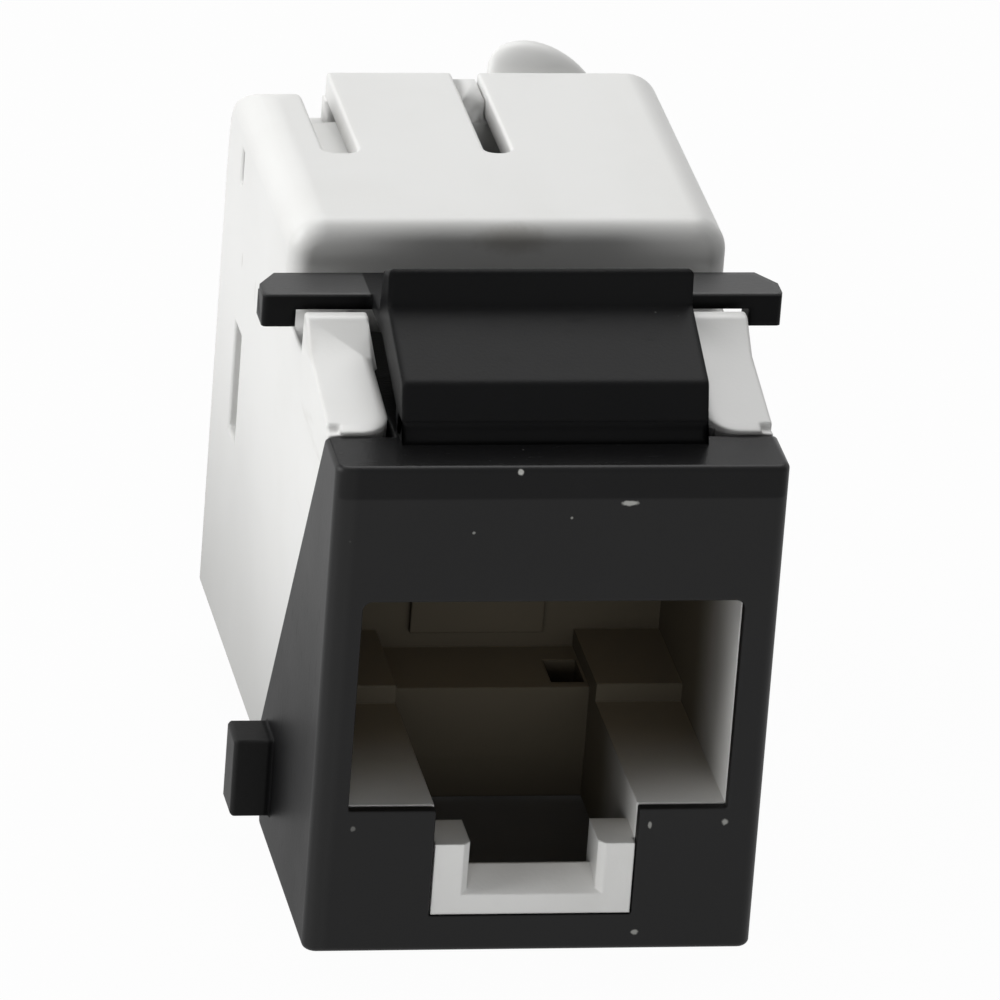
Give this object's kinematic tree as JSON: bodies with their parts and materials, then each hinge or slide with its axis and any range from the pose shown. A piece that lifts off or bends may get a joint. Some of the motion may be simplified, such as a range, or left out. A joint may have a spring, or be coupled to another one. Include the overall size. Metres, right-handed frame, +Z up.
{
  "type": "keystone jack",
  "caption": "Snap-in modular network jack with a black front, sprung release latch, light grey housing and push-on wire cap.",
  "frame": {"origin": "under the middle of the whole jack, on the plane its front floor rests on", "axes": "+Y from the plug mouth back to the wire cap, +Z up towards the release latch, +X across the mouth"},
  "size_m": [0.0172, 0.0256, 0.0211],
  "materials": {
    "front_bezel": "fine satin black moulding",
    "release_latch": "fine satin black moulding",
    "plug_housing": "light grey moulding",
    "contact_carrier": "black moulding",
    "contact_wire": "gold plated spring wire",
    "circuit_board": "green solder mask",
    "termination_block": "light grey moulding",
    "blade_metal": "tin plated spring bronze",
    "rear_housing": "light grey moulding",
    "wire_cap": "light grey moulding"
  },
  "bodies": {
    "jack_body": {"front_bezel": "front_bezel", "plug_housing": "plug_housing", "contact_carrier": "contact_carrier", "circuit_board": "circuit_board", "termination_block": "termination_block", "wire_blade_1": "blade_metal", "wire_blade_2": "blade_metal", "wire_blade_3": "blade_metal", "wire_blade_4": "blade_metal", "wire_blade_5": "blade_metal", "wire_blade_6": "blade_metal", "wire_blade_7": "blade_metal", "wire_blade_8": "blade_metal", "rear_housing": "rear_housing"},
    "latch": {"release_latch": "release_latch"},
    "contacts": {"plug_contact_1": "contact_wire", "plug_contact_2": "contact_wire", "plug_contact_3": "contact_wire", "plug_contact_4": "contact_wire", "plug_contact_5": "contact_wire", "plug_contact_6": "contact_wire", "plug_contact_7": "contact_wire", "plug_contact_8": "contact_wire"},
    "cap": {"wire_cap": "wire_cap"}
  },
  "joints": [
    {"name": "latch_flex", "type": "hinge", "parent": "jack_body", "child": "latch", "pos_m": [0, -0.01008, 0.01747], "axis": [-1, 0, 0], "range_deg": [0, 9], "stiffness_Nm_per_rad": 0.1},
    {"name": "contact_flex", "type": "hinge", "parent": "jack_body", "child": "contacts", "pos_m": [0, 0.0012, 0.01358], "axis": [-1, 0, 0], "range_deg": [0, 2.5], "stiffness_Nm_per_rad": 0.2},
    {"name": "cap_slide", "type": "slide", "parent": "jack_body", "child": "cap", "axis": [0, 1, 0], "range_m": [0, 0.008]}
  ]
}
